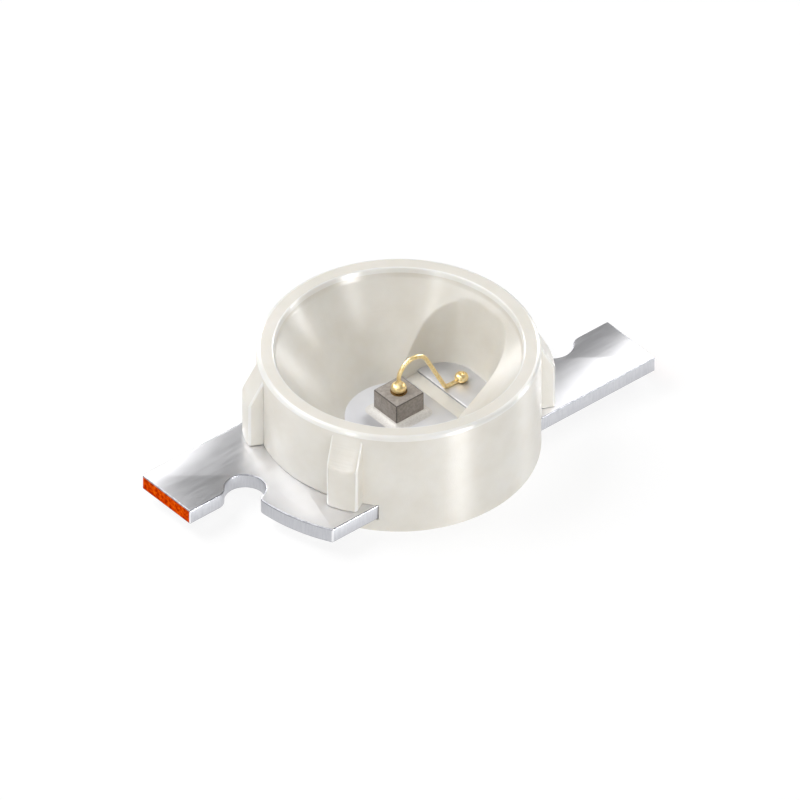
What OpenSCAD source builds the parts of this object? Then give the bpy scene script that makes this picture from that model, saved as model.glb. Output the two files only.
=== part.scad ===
// Round surface-mount LED: a white moulded body with a reflector cup, on two flat plated leads.
// Millimetres. Z is up, the leads run along X, and the origin is the middle of the body's underside.

/* [Body] */
// Diameter of the moulded body
body_d = 2.0; // [1.95:0.05:3]
// Height of the moulded body
body_h = 0.86; // [0.7:0.01:0.92]
// Radius along the upper outer edge
rim_round = 0.035; // [0.01:0.005:0.06]
// Radius along the lower outer edge
foot_round = 0.02; // [0.01:0.005:0.06]

/* [Reflector cup] */
// Width of the flat rim around the cup
rim_w = 0.115; // [0.08:0.005:0.135]
// Depth of the steep lip below the rim
lip_depth = 0.065; // [0.03:0.005:0.12]
// Lean of the lip over that depth
lip_lean = 0.023; // [0:0.001:0.04]
// Diameter of the round floor where the reflector cone ends
cup_floor_d = 0.76; // [0.64:0.01:0.9]

/* [Wire pocket] */
// Width of the pocket at the floor
pocket_w = 0.62; // [0.52:0.01:0.74]
// Radius of the two far corners of the pocket at the floor
pocket_corner = 0.25; // [0.14:0.01:0.28]
// Draft of the pocket's walls in degrees
pocket_draft = 12; // [1:0.5:14]
// Length of bond pad laid bare in the pocket
pocket_pad_l = 0.287; // [0.26:0.001:0.31]

/* [Leads] */
// Length over the tips of both leads
lead_span = 3.59; // [2.9:0.01:5]
// Thickness of the lead strip
lead_t = 0.118; // [0.08:0.001:0.2]
// Height of the leads' underside above the body's underside
lead_rise = 0.116; // [0.05:0.001:0.25]
// Width of the shoulder that enters the body
shoulder_w = 1.32; // [1.1:0.01:1.5]
// Distance from the body's wall to the round end of the shoulder
shoulder_out = 0.335; // [0.2:0.005:0.5]
// Width of the narrow outer strip
strip_w = 0.52; // [0.4:0.01:0.66]
// Radius of the notch between strip and shoulder
notch_r = 0.145; // [0.08:0.005:0.18]
// Distance from the strip's inner edge down to the notch's centre
notch_drop = 0.05; // [0:0.005:0.08]
// Radius where the strip turns into the notch
strip_round = 0.1; // [0.02:0.01:0.15]
// Radius where the notch turns into the shoulder's round end
shoulder_round = 0.05; // [0.02:0.01:0.08]
// Distance from the body's axis to the inner edge of the die pad
die_pad_reach = 0.31; // [0.25:0.01:0.33]
// Gap between the two pads, filled by the body's plastic
pad_gap = 0.12; // [0.08:0.01:0.14]
// Depth of that plastic below the pads' top face
gap_drop = 0.02; // [0.005:0.005:0.05]

/* [Ribs] */
// Width of a rib
rib_w = 0.235; // [0.15:0.005:0.3]
// Height of a rib's upright face out from the wall
rib_out = 0.11; // [0.04:0.005:0.2]
// Angle of a rib's middle from the leads' centre line in degrees
rib_angle = 28.5; // [20:0.5:32]
// Height of the upright face above the leads
rib_face_h = 0.335; // [0.1:0.005:0.4]
// Distance from the rib's top down from the rim
rib_rim_gap = 0.04; // [0.035:0.005:0.1]
// Radius along a rib's two upright edges
rib_round = 0.05; // [0.01:0.005:0.07]
// Distance that a rib's slope runs on into the wall
rib_run_in = 0.015; // [0.012:0.001:0.03]

/* [Chip] */
// Side of the square chip
chip_side = 0.25; // [0.15:0.005:0.3]
// Height of the chip
chip_h = 0.17; // [0.1:0.005:0.21]
// Place of the chip's middle along the leads
chip_x = 0.037; // [-0.05:0.001:0.08]
// Place of the chip's middle across the leads
chip_y = 0.044; // [-0.05:0.001:0.05]
// Diameter of the round contact on top of the chip
contact_d = 0.12; // [0.1:0.005:0.14]
// Thickness of that contact
contact_t = 0.004; // [0.001:0.001:0.01]
// Thickness of the glue under the chip
glue_t = 0.012; // [0.005:0.001:0.02]
// Width of the glue that shows around the chip
glue_margin = 0.06; // [0.02:0.005:0.08]
// Height that the glue climbs up the chip's sides
glue_climb = 0.02; // [0.01:0.005:0.08]

/* [Bond wire] */
// Diameter of the gold wire
wire_d = 0.032; // [0.02:0.001:0.04]
// Diameter of the squashed ball on the chip
ball_d = 0.112; // [0.08:0.002:0.12]
// Height of that ball
ball_h = 0.065; // [0.04:0.001:0.07]
// Diameter of the cone that necks the ball down to the wire, at its foot
neck_d = 0.056; // [0.04:0.002:0.07]
// Height of that cone
neck_h = 0.03; // [0.01:0.001:0.05]
// Height of the wire's loop above the chip's contact
loop_rise = 0.23; // [0.2:0.005:0.26]
// Radius of the loop's upper bend
loop_bend = 0.13; // [0.08:0.005:0.13]
// Radius of the lower bend where the wire lands
foot_bend = 0.04; // [0.02:0.005:0.05]
// Distance from the bond pad's edge to the wire's landing
landing_inset = 0.02; // [0:0.005:0.04]
// Height of the wire's axis above the pad, less than its radius because it is pressed on
landing_h = 0.011; // [0.005:0.001:0.013]
// Diameter of the second ball
bump_d = 0.1; // [0.08:0.002:0.12]
// Height of the second ball
bump_h = 0.06; // [0.045:0.001:0.07]
// Depth by which each ball's round side is pressed flat on what it is bonded to
press = 0.006; // [0.002:0.001:0.01]
// Distance from the second ball's middle to the pocket's far wall
bump_inset = 0.123; // [0.1:0.001:0.14]
// Place of the second ball across the leads
bump_y = 0.024; // [-0.1:0.001:0.1]
// Diameter of the dimple that the bonding tool leaves in the second ball
dimple_d = 0.036; // [0.02:0.002:0.05]

/* [Casting] */
// Distance from the rim down to the resin's edge
fill_drop = 0.015; // [0.005:0.005:0.04]
// Dip of the resin's surface from its edge to its middle
fill_dip = 0.02; // [0.005:0.005:0.05]

/* [Hidden] */
$fn = 96;
// Facets around the wire and the balls
wire_fn = 32;
// Straight runs of the wire are this much thicker in radius than its bends
join_step = 0.0003;
// They reach into the bends until the tighter one's inner side has risen by half of that
join_lap = sqrt(join_step * (foot_bend - wire_d / 2));

body_r = body_d / 2;
lead_top = lead_rise + lead_t;

// The cup, from its floor up
floor_r = cup_floor_d / 2;
lip_z = body_h - lip_depth;
mouth_r = body_r - rim_w;
lip_r = mouth_r - lip_lean;
clear_above = 0.1;

// The two pads and the pocket that lays the second one bare
bond_pad_edge = die_pad_reach + pad_gap;
pocket_reach = bond_pad_edge + pocket_pad_l;
corner_x = pocket_reach - pocket_corner;
corner_y = pocket_w / 2 - pocket_corner;
pocket_depth = lip_z - lead_top;
pocket_flare = pocket_depth * tan(pocket_draft);

// The lead's outline, drawn for the lead that points along -X
lead_tip = lead_span / 2;
shoulder_r = body_r + shoulder_out;
strip_edge = shoulder_w / 2 - strip_w;
notch_y = strip_edge - notch_drop;
notch_at = [-sqrt(pow(shoulder_r, 2) - pow(notch_y, 2)), notch_y];

// The ribs stand on the leads and run into the wall
rib_r = body_r + rib_out;
rib_root = body_r - rim_w / 2;
rib_break = lead_top + rib_face_h;
rib_top = body_h - rib_rim_gap;

// The chip on its glue
chip_base = lead_top + glue_t;
chip_top = chip_base + chip_h;
contact_top = chip_top + contact_t;

// The wire's path lies in one upright plane, from the chip's middle to the second ball
bump_x = pocket_reach - bump_inset;
wire_run = [bump_x - chip_x, bump_y - chip_y];
wire_turn = atan2(wire_run[1], wire_run[0]);
wire_end = norm(wire_run);
pad_level = lead_top + landing_h;
loop_mid = [loop_bend, contact_top + loop_rise - loop_bend];
landing = [(bond_pad_edge + landing_inset - chip_x) / cos(wire_turn), pad_level];
to_landing = landing - loop_mid;
loop_leave = atan2(to_landing[1], to_landing[0]) + acos(loop_bend / norm(to_landing));
loop_end = loop_mid + loop_bend * [cos(loop_leave), sin(loop_leave)];
foot_turn = 90 - loop_leave;
foot_tangent = foot_bend * tan(foot_turn / 2);

// The resin's surface is a shallow bowl
fill_edge = body_h - fill_drop;
fill_ball_r = (pow(mouth_r, 2) + pow(fill_dip, 2)) / (2 * fill_dip);

// Where the circle of radius ra around a crosses the one of radius rb around b
function crossing(a, ra, b, rb, side) =
    let (gap = norm(b - a))
    let (way = (b - a) / gap)
    let (along = (pow(ra, 2) - pow(rb, 2) + pow(gap, 2)) / (2 * gap))
    let (across = sqrt(pow(ra, 2) - pow(along, 2)))
    a + along * way + side * across * [-way[1], way[0]];

// What a rounding takes off a sharp corner: the wedge between its guard points, less the round itself
module rounding_waste(centre, r, guards) {
    difference() {
        polygon(concat([centre], guards));
        translate(centre) circle(r = r);
    }
}

// The notch between strip and shoulder, with both of its corners rounded
module notch_outline() {
    strip_mid_y = strip_edge + strip_round;
    reach = notch_r + strip_round;
    strip_mid = [notch_at[0] - sqrt(pow(reach, 2) - pow(strip_mid_y - notch_at[1], 2)), strip_mid_y];
    end_mid = crossing([0, 0], shoulder_r - shoulder_round, notch_at, notch_r + shoulder_round, 1);
    end_touch = end_mid * shoulder_r / norm(end_mid);
    end_corner = crossing([0, 0], shoulder_r, notch_at, notch_r, 1) * (1 + shoulder_round / shoulder_r);
    translate(notch_at) circle(r = notch_r);
    rounding_waste(strip_mid, strip_round, [[strip_mid[0], strip_edge], notch_at]);
    rounding_waste(end_mid, shoulder_round, [end_touch, end_corner, notch_at]);
}

// Plan of a lead along -X whose pad ends at x = inner_edge
module lead_outline(inner_edge) {
    difference() {
        union() {
            intersection() {
                circle(r = shoulder_r);
                translate([-shoulder_r, -shoulder_w / 2]) square([shoulder_r + inner_edge, shoulder_w]);
            }
            translate([-lead_tip, strip_edge]) square([lead_tip - body_r, strip_w]);
        }
        notch_outline();
    }
}

// A stamped lead, lying at the leads' height
module lead_blank(inner_edge) {
    translate([0, 0, lead_rise]) linear_extrude(lead_t) lead_outline(inner_edge);
}

module cathode_lead() {
    color("silver") lead_blank(die_pad_reach);
}

module anode_lead() {
    color("silver") rotate([0, 0, 180]) lead_blank(-bond_pad_edge);
}

// Half section of the plain body, with rounded outer edges
module body_section() {
    difference() {
        square([body_r, body_h]);
        rounding_waste(
            [body_r - rim_round, body_h - rim_round], rim_round,
            [[body_r, body_h - rim_round], [body_r, body_h], [body_r - rim_round, body_h]]
        );
        rounding_waste(
            [body_r - foot_round, foot_round], foot_round,
            [[body_r, foot_round], [body_r, 0], [body_r - foot_round, 0]]
        );
    }
}

// Plan of a rib along +X, with round outer corners
module rib_outline() {
    half = rib_w / 2;
    mid_x = rib_r - rib_round;
    difference() {
        translate([rib_root, -half]) square([rib_r - rib_root, rib_w]);
        for (side = [-1, 1]) rounding_waste(
            [mid_x, side * (half - rib_round)], rib_round,
            [[mid_x, side * half], [rib_r, side * half], [rib_r, side * (half - rib_round)]]
        );
    }
}

// A rib against the wall along +X: above its upright face it slopes in to the wall
module rib() {
    intersection() {
        translate([0, 0, lead_top]) linear_extrude(rib_top - lead_top) rib_outline();
        rotate([90, 0, 0]) linear_extrude(rib_w, center = true) polygon([
            [rib_root, lead_top],
            [rib_r, lead_top],
            [rib_r, rib_break],
            [body_r - rib_run_in, rib_top],
            [rib_root, rib_top]
        ]);
    }
}

// The four ribs, two on each lead
module ribs() {
    for (side = [0, 180], lean = [-rib_angle, rib_angle]) rotate([0, 0, side + lean]) rib();
}

// The pocket for the wire, upright walls with draft and two round far corners
module pocket_space() {
    translate([0, 0, lead_top]) {
        rotate([90, 0, 0]) linear_extrude(2 * corner_y, center = true) polygon([
            [0, 0], [pocket_reach, 0], [pocket_reach + pocket_flare, pocket_depth], [0, pocket_depth]
        ]);
        rotate([90, 0, 90]) linear_extrude(corner_x) polygon([
            [-pocket_w / 2, 0],
            [pocket_w / 2, 0],
            [pocket_w / 2 + pocket_flare, pocket_depth],
            [-pocket_w / 2 - pocket_flare, pocket_depth]
        ]);
        for (side = [-1, 1]) translate([corner_x, side * corner_y, 0])
            cylinder(h = pocket_depth, r1 = pocket_corner, r2 = pocket_corner + pocket_flare);
    }
}

// The shallow groove over the plastic between the two pads
module gap_groove() {
    translate([die_pad_reach, -pocket_w / 2, lead_top - gap_drop])
        cube([pad_gap, pocket_w, 2 * gap_drop]);
}

// All the room inside the cup, open at the top
module cup_space() {
    rotate_extrude() polygon([
        [0, lead_top],
        [floor_r, lead_top],
        [lip_r, lip_z],
        [mouth_r, body_h],
        [mouth_r, body_h + clear_above],
        [0, body_h + clear_above]
    ]);
    pocket_space();
    gap_groove();
}

module housing() {
    color("ivory") difference() {
        union() {
            rotate_extrude() body_section();
            ribs();
        }
        cup_space();
        cathode_lead();
        anode_lead();
    }
}

module led_chip() {
    color("dimgray") translate([chip_x, chip_y, chip_base]) {
        translate([-chip_side / 2, -chip_side / 2, 0]) cube([chip_side, chip_side, chip_h]);
        cylinder(h = chip_h + contact_t, d = contact_d);
    }
}

// A square bar of sloping section, for one direction of the glue's fillet
module glue_slope() {
    foot = chip_side / 2 + glue_margin / 2;
    rotate([90, 0, 0]) linear_extrude(chip_side + glue_margin, center = true) polygon([
        [-foot, 0], [foot, 0], [chip_side / 2, glue_t + glue_climb], [-chip_side / 2, glue_t + glue_climb]
    ]);
}

module die_attach() {
    spread = chip_side + 2 * glue_margin;
    color("gainsboro") difference() {
        translate([chip_x, chip_y, lead_top]) {
            linear_extrude(glue_t) union() {
                square([spread, chip_side], center = true);
                square([chip_side, spread], center = true);
                for (x = [-1, 1], y = [-1, 1]) translate([x, y] * chip_side / 2) circle(r = glue_margin);
            }
            intersection() {
                glue_slope();
                rotate([0, 0, 90]) glue_slope();
            }
        }
        led_chip();
    }
}

// Half section of a ball with a full round side, whose top is at h and whose underside is a press below zero
module ball_section(d, h) {
    thick = h + press;
    translate([0, -press]) intersection() {
        union() {
            square([(d - thick) / 2, thick]);
            translate([(d - thick) / 2, thick / 2]) circle(d = thick, $fn = wire_fn);
        }
        square([d / 2, thick]);
    }
}

// The first ball with its neck and the upright start of the wire, from the contact up to a height
module ball_and_neck(top) {
    neck_r = wire_d / 2 + join_step;
    rotate_extrude() {
        ball_section(ball_d, ball_h);
        polygon([
            [0, 0],
            [neck_d / 2, 0],
            [neck_d / 2, ball_h],
            [neck_r, ball_h + neck_h],
            [neck_r, top],
            [0, top]
        ]);
    }
}

// A bend of the wire in the XZ plane: around mid, from angle from to angle to
module wire_bend(mid, r, from, to) {
    translate([mid[0], 0, mid[1]]) rotate([90, 0, 0]) rotate([0, 0, from])
        rotate_extrude(angle = to - from) translate([r, 0]) circle(d = wire_d, $fn = wire_fn);
}

// A straight run of the wire in the XZ plane: from a start, at an angle from the upright, lapping its bends
module wire_straight(start, lean, length) {
    translate([start[0], 0, start[1]]) rotate([0, lean, 0]) translate([0, 0, -join_lap])
        cylinder(h = length + 2 * join_lap, r = wire_d / 2 + join_step, $fn = wire_fn);
}

// The wire from the chip's contact to its end under the second ball
module wire_path() {
    foot_start = landing[0] + foot_tangent;
    translate([0, 0, contact_top]) ball_and_neck(loop_mid[1] + join_lap - contact_top);
    wire_bend(loop_mid, loop_bend, loop_leave, 180);
    wire_straight(loop_end, 180 - loop_leave, norm(landing - loop_end) - foot_tangent);
    wire_bend([foot_start, pad_level + foot_bend], foot_bend, 270 - foot_turn, 270);
    wire_straight([foot_start, pad_level], 90, wire_end - foot_start);
}

// The wire where it lies, before the chip and the pad press it flat
module round_wire() {
    translate([chip_x, chip_y, 0]) rotate([0, 0, wire_turn]) wire_path();
}

module bond_wire() {
    color("gold") difference() {
        round_wire();
        led_chip();
        anode_lead();
    }
}

// The second ball where it lies, before the pad presses it flat
module round_bump() {
    difference() {
        translate([bump_x, bump_y, lead_top]) rotate_extrude() ball_section(bump_d, bump_h);
        translate([bump_x, bump_y, lead_top + bump_h]) sphere(d = dimple_d);
    }
}

module bond_bump() {
    color("gold") difference() {
        round_bump();
        round_wire();
        anode_lead();
    }
}

// Half section of the room that resin fills, up to its bowl-shaped surface
module fill_section() {
    difference() {
        square([body_r, fill_edge]);
        translate([0, fill_edge - fill_dip + fill_ball_r]) circle(r = fill_ball_r, $fn = 360);
    }
}

module clear_casting() {
    color([0.93, 0.95, 0.94, 0.35]) difference() {
        intersection() {
            cup_space();
            rotate_extrude() fill_section();
        }
        led_chip();
        die_attach();
        round_wire();
        round_bump();
    }
}

housing();
cathode_lead();
anode_lead();
led_chip();
die_attach();
bond_wire();
bond_bump();
clear_casting();
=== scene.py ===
"""Round white surface-mount LED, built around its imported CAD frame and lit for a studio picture.

Sizes are millimetres until a mesh is finished; only then does it shrink to the frame's metres.
"""
import logging
import math
from collections.abc import Iterable, Sequence
from dataclasses import dataclass
from enum import Enum
from functools import cache
from typing import Any

import bmesh
import bpy
from mathutils import Matrix, Vector


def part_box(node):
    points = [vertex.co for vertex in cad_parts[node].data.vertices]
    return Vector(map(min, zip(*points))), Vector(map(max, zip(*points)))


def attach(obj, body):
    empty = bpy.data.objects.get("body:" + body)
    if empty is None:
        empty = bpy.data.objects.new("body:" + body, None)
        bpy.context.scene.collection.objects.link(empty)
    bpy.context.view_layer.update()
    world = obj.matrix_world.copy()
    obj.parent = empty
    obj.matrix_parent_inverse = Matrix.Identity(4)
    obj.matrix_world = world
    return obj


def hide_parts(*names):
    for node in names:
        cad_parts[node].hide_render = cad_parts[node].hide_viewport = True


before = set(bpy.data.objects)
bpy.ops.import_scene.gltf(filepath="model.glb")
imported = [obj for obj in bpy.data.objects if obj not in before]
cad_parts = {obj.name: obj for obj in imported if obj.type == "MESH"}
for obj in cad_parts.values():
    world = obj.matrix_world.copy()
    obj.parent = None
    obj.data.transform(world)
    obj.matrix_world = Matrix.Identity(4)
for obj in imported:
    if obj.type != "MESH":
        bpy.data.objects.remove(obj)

MM = 0.001
# A distance in millimetres that is too small to matter
HAIR = 0.001
# Share of a face's normal from which the face counts as turned that way
FACING = 0.5
# Range that holds most of a noise pattern's values
NOISE_RANGE = (0.3, 0.7)
HALF_TURN = Matrix.Rotation(math.pi, 4, "Z")

log = logging.getLogger("surface_mount_led")


class Slot(Enum):
    """Material slots of the record."""

    WHITE = "white_moulding"
    LEAD = "plated_lead"
    CHIP = "chip"
    GLUE = "silver_glue"
    GOLD = "gold"
    RESIN = "clear_resin"


class Pad(Enum):
    """The two leads, named for what is bonded to the pad that each ends in."""

    DIE = 0
    BOND = 1


class Zone(Enum):
    """Parts of the body that differ in finish, numbered as their material slots."""

    WALL = 0
    RIM = 1
    # Rounded edges of rim and ribs, smoother and lighter; the lighter colour is painted highlight
    EDGE = 2
    CUP = 3
    # Faces in the lead seams and under the ribs' feet, coloured as painted shade
    SEAM = 4


class LeadFace(Enum):
    """Parts of a lead that differ in finish, numbered as its material slots."""

    FACE = 0
    # Edges outside the body, darker as painted shade
    EDGE = 1
    CUT = 2
    # Sides of the strip, darker than its top as painted shade
    SIDE = 3
    PAD = 4


class ChipFace(Enum):
    """Parts of the chip that differ in finish, numbered as its material slots."""

    SIDE = 0
    # The contact under the bond ball, dull brown as painted shadow
    CONTACT = 1
    EDGE = 2
    # The top, lighter than the sides as painted light
    TOP = 3


Stops = Sequence[tuple[float, str]]
Settings = Sequence[tuple[str, Any]]


def srgb(code: str) -> tuple[float, float, float, float]:
    """Turn an sRGB hex colour into linear red, green, blue and alpha.

    Args:
        code: Six hex digits.

    Returns:
        The colour as the shaders take it.
    """
    parts = [int(code[i:i + 2], 16) / 255 for i in (0, 2, 4)]
    linear = [p / 12.92 if p <= 0.04045 else ((p + 0.055) / 1.055) ** 2.4 for p in parts]
    return (*linear, 1.0)


def add(tree: bpy.types.NodeTree, kind: str, *values: Any, named: dict[str, Any] | None = None,
        stops: Stops = (), **settings: Any) -> bpy.types.Node:
    """Add a node with its settings and links.

    Args:
        tree: The tree that takes the node.
        kind: The node's type.
        values: What goes into the node's inputs in their order: a number, a node whose first output
            is meant, an output, a list of these for an input that takes several, or None to skip one.
        named: The same by the inputs' names.
        stops: Place and hex colour of each stop, where the node is a colour ramp.
        settings: Properties of the node.

    Returns:
        The new node.
    """
    node = tree.nodes.new(kind)
    for key, value in settings.items():
        setattr(node, key, value)
    for key, value in {**dict(enumerate(values)), **(named or {})}.items():
        for one in value if isinstance(value, list) else [value]:
            if isinstance(one, bpy.types.Node):
                one = one.outputs[0]
            if isinstance(one, bpy.types.NodeSocket):
                tree.links.new(one, node.inputs[key])
            elif one is not None:
                node.inputs[key].default_value = one
    if stops:
        elements = node.color_ramp.elements
        while len(elements) < len(stops):
            elements.new(0.5)
        for element, (place, code) in zip(elements, stops):
            element.position = place
            element.color = srgb(code)
    return node


def blank_material(name: str) -> tuple[bpy.types.Material, bpy.types.NodeTree]:
    """Start a material.

    Args:
        name: The material's name.

    Returns:
        The material and its emptied node tree.
    """
    material = bpy.data.materials.new(name)
    material.use_nodes = True
    material.node_tree.nodes.clear()
    return material, material.node_tree


@dataclass(frozen=True)
class Grain:
    """A pattern whose cells measure so many millimetres, drawn out along an axis where its stretch is low."""

    cell: float
    stretch: tuple[float, float, float] = (1, 1, 1)
    detail: float = 2.0
    fineness: float = 0.5
    kind: str = "ShaderNodeTexNoise"

    def draw(self, tree: bpy.types.NodeTree) -> bpy.types.Node:
        """Add the pattern to a material.

        Args:
            tree: The material's tree.

        Returns:
            The node whose first output is the pattern.
        """
        place = add(tree, "ShaderNodeTexCoord").outputs["Object"]
        drawn = add(tree, "ShaderNodeMapping", place, named={"Scale": self.stretch})
        return add(tree, self.kind, named={
            "Vector": drawn, "Scale": 1 / (self.cell * MM), "Detail": self.detail,
            "Roughness": self.fineness})


@dataclass(frozen=True)
class Finish:
    """A finish whose colour follows one grain, and whose gloss and relief, where it has them, follow the
    same grain or a texture of their own."""

    name: str
    tint: Grain
    stops: Stops
    shader: Settings
    texture: Grain | None = None
    gloss: tuple[float, float] | None = None
    relief: float = 0.0
    strength: float = 1.0

    def refine(self, tree: bpy.types.NodeTree, wanted: dict[str, Any]) -> None:
        """Add what only one kind of finish has, which here is nothing."""

    def build(self) -> bpy.types.Material:
        """Make the material.

        Returns:
            The finished material.
        """
        material, tree = blank_material(self.name)
        tint = self.tint.draw(tree)
        texture = self.texture.draw(tree) if self.texture else tint
        wanted = {"Base Color": add(tree, "ShaderNodeValToRGB", tint, stops=self.stops), **dict(self.shader)}
        if self.gloss:
            wanted["Roughness"] = add(tree, "ShaderNodeMapRange", texture, *NOISE_RANGE, *self.gloss)
        if self.relief:
            wanted["Normal"] = add(tree, "ShaderNodeBump", named={
                "Height": texture, "Strength": self.strength, "Distance": self.relief * MM})
        self.refine(tree, wanted)
        add(tree, "ShaderNodeOutputMaterial", add(tree, "ShaderNodeBsdfPrincipled", named=wanted))
        return material


@dataclass(frozen=True)
class WhiteMoulding(Finish):
    """Glass-filled white nylon, moulded in a turned cavity: warm white, satin, with faint flow clouds
    and the fine rings that the cavity's turning leaves on the wall."""

    name: str = "moulded_white_nylon"
    tint: Grain = Grain(0.35, detail=3.0, fineness=0.6)
    stops: Stops = ((0.3, "E6E1D6"), (0.7, "EFECE4"))
    shader: Settings = (
        ("IOR", 1.53), ("Subsurface Weight", 0.25), ("Subsurface Scale", 0.05 * MM),
        ("Subsurface Radius", (1.0, 0.85, 0.65)))
    texture: Grain | None = Grain(0.012)
    gloss: tuple[float, float] | None = (0.3, 0.42)
    relief: float = 0.0006
    ring: Grain = Grain(0.014, (0.02, 0.02, 1))
    ring_h: float = 0.0012
    sheen: float = 0.9
    drawn: float = 0.9

    def refine(self, tree: bpy.types.NodeTree, wanted: dict[str, Any]) -> None:
        """Add the turned rings, and the sheen that they draw out round the axis.

        Args:
            tree: The material's tree.
            wanted: The shader's inputs by name, which are changed.
        """
        place = add(tree, "ShaderNodeTexCoord").outputs["Object"]
        around = add(tree, "ShaderNodeVectorMath", place, (0, 0, -1), operation="CROSS_PRODUCT")
        rings = add(tree, "ShaderNodeBump", named={
            "Height": self.ring.draw(tree), "Strength": self.strength, "Distance": self.ring_h * MM,
            "Normal": wanted["Normal"]})
        wanted.update({
            "Normal": rings, "Tangent": around, "Anisotropic": self.drawn, "Anisotropic Rotation": 0.25,
            "Specular IOR Level": self.sheen})


@dataclass(frozen=True)
class PaintedSeamShade(Finish):
    """Painted shade, dark brown, on the faces of the hairline gap between plastic and lead and under the
    ribs' feet, where light hardly reaches.
    """

    name: str = "shaded_nylon_in_seam"
    tint: Grain = Grain(0.1)
    stops: Stops = ((0.35, "3A3028"), (0.65, "5C5044"))
    shader: Settings = (("Roughness", 0.7),)


@dataclass(frozen=True)
class SilverPlate(Finish):
    """Silver plated copper strip, rolled along its length: soft grey mirror with faint lines along X."""

    name: str = "rolled_silver_plate"
    tint: Grain = Grain(0.3)
    stops: Stops = ((0.3, "E4E4E7"), (0.7, "EEEEF0"))
    shader: Settings = (("Metallic", 1.0),)
    texture: Grain | None = Grain(0.02, (0.08, 1, 1), 3.0, 0.6)
    gloss: tuple[float, float] | None = (0.3, 0.36)
    relief: float = 0.0002


@dataclass(frozen=True)
class RolledEdgePaintedShade(Finish):
    """The same plate where stamping rolled the strip's edge over: thinner and duller, and darker as painted
    shade along the edge.
    """

    name: str = "stamped_edge_of_plate"
    tint: Grain = Grain(0.03)
    stops: Stops = ((0.35, "8E8F94"), (0.65, "AAABB0"))
    shader: Settings = (("Metallic", 1.0), ("Roughness", 0.42))


@dataclass(frozen=True)
class SideWithPaintedShade(Finish):
    """The same plate down the strip's sides, where the punch dragged: duller, with fine upright lines, and
    darker than the top as painted shade.
    """

    name: str = "sheared_side_of_plate"
    tint: Grain = Grain(0.012, (1, 1, 0.1), 3.0, 0.6)
    stops: Stops = ((0.35, "BBBCC1"), (0.65, "C5C6CA"))
    shader: Settings = (("Metallic", 1.0), ("Roughness", 0.4))
    relief: float = 0.0002


@dataclass(frozen=True)
class BareCopper(Finish):
    """Copper laid bare by the cut that parts the lead from its strip: torn, orange, with darker pits."""

    name: str = "sheared_bare_copper"
    tint: Grain = Grain(0.03, detail=4.0, fineness=0.7)
    stops: Stops = ((0.35, "A43000"), (0.5, "D85008"), (0.68, "F47C1C"))
    shader: Settings = (("Metallic", 1.0), ("Roughness", 0.5), ("Specular Tint", srgb("E07028")))
    relief: float = 0.006


@dataclass(frozen=True)
class SawnChip(Finish):
    """Semiconductor sawn from its wafer: warm grey, half matt, with saw lines on the sides."""

    name: str = "sawn_semiconductor"
    tint: Grain = Grain(0.025, detail=4.0, fineness=0.65)
    stops: Stops = ((0.35, "776F69"), (0.65, "938B84"))
    shader: Settings = (("Roughness", 0.5), ("IOR", 1.8))
    texture: Grain | None = Grain(0.008, (0.1, 0.1, 1))
    relief: float = 0.0008


@dataclass(frozen=True)
class ChippedEdge(Finish):
    """The chip's edges, where the saw broke tiny flakes out: darker and matt."""

    name: str = "chipped_semiconductor_edge"
    tint: Grain = Grain(0.008)
    stops: Stops = ((0.35, "403A36"), (0.65, "5E5752"))
    shader: Settings = (("Roughness", 0.7), ("IOR", 1.8))


@dataclass(frozen=True)
class ContactPaintedShadow(Finish):
    """Thin gold contact alloyed into the chip's face, dull brown as painted shadow round the bond ball, with
    a grainy surface.
    """

    name: str = "alloyed_gold_contact"
    tint: Grain = Grain(0.01)
    stops: Stops = ((0.35, "6E542C"), (0.65, "8A6C3C"))
    shader: Settings = (("Metallic", 0.6), ("Roughness", 0.6))


@dataclass(frozen=True)
class SilverGlue(Finish):
    """Resin filled with silver flakes, cured under the chip: pale, soft, with a fine glitter."""

    name: str = "cured_silver_glue"
    tint: Grain = Grain(0.012, detail=0.0, kind="ShaderNodeTexVoronoi")
    stops: Stops = ((0.2, "EDEBE8"), (0.8, "E2DFDB"))
    shader: Settings = (("Metallic", 0.1), ("Roughness", 0.6))
    relief: float = 0.0003
    strength: float = 0.5


@dataclass(frozen=True)
class DrawnGold(Finish):
    """Fine gold wire and the balls melted from it: bright, pale yellow, softly rippled."""

    name: str = "drawn_gold"
    tint: Grain = Grain(0.02)
    stops: Stops = ((0.35, "F0D290"), (0.65, "FBE8B8"))
    shader: Settings = (("Metallic", 1.0), ("Roughness", 0.38))
    relief: float = 0.0008


@dataclass(frozen=True)
class ClearResin:
    """Clear epoxy cast into the cup, so clean that only what lies in it shows, with no tint or mirror."""

    name: str = "clear_cast_epoxy"

    def build(self) -> bpy.types.Material:
        """Make the material.

        Returns:
            The finished material.
        """
        material, tree = blank_material(self.name)
        add(tree, "ShaderNodeOutputMaterial", add(tree, "ShaderNodeBsdfTransparent"))
        return material


def arc(centre: Sequence[float], radius: float, start: float, end: float,
        step: float = 6) -> list[Vector]:
    """Points along an arc, its ends included.

    Args:
        centre: The arc's middle.
        radius: Its radius.
        start: Angle of its first point, in degrees.
        end: Angle of its last point.
        step: Largest angle between two points.

    Returns:
        The points as plane vectors.
    """
    count = max(1, math.ceil(abs(end - start) / step))
    turns = [math.radians(start + (end - start) * i / count) for i in range(count + 1)]
    return [Vector((centre[0] + radius * math.cos(t), centre[1] + radius * math.sin(t))) for t in turns]


def along(start: Sequence[float], end: Sequence[float], count: int) -> list[Vector]:
    """Evenly spaced points between two ends, without the ends."""
    return [Vector(start).lerp(Vector(end), i / (count + 1)) for i in range(1, count + 1)]


def angle_to(way: Vector) -> float:
    """Direction of a plane vector in degrees."""
    return math.degrees(math.atan2(way.y, way.x))


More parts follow.
